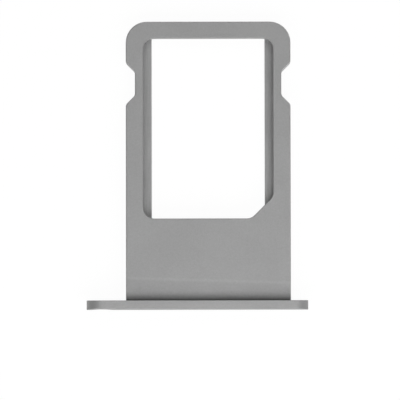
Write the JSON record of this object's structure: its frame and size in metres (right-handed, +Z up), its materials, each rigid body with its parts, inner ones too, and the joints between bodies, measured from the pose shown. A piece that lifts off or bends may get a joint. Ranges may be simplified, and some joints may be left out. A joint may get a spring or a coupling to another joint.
{
  "type": "sim card tray",
  "caption": "Slim one-piece metal tray that carries a nano SIM card into a phone, with a stepped card seat, notched side rails and a rounded face plate with an eject pin hole.",
  "frame": {"origin": "under the middle of the whole tray, level with the lower edge of the face plate", "axes": "+X across the tray, away from the eject hole's end of the face plate; +Y from the face plate to the tip, the way the tray goes in; +Z up, with the card side on top"},
  "size_m": [0.0152, 0.0198, 0.0022],
  "materials": {
    "anodised_metal": "satin anodised, dark grey"
  },
  "bodies": {
    "root": {"sim_card_tray": "anodised_metal"}
  },
  "joints": []
}
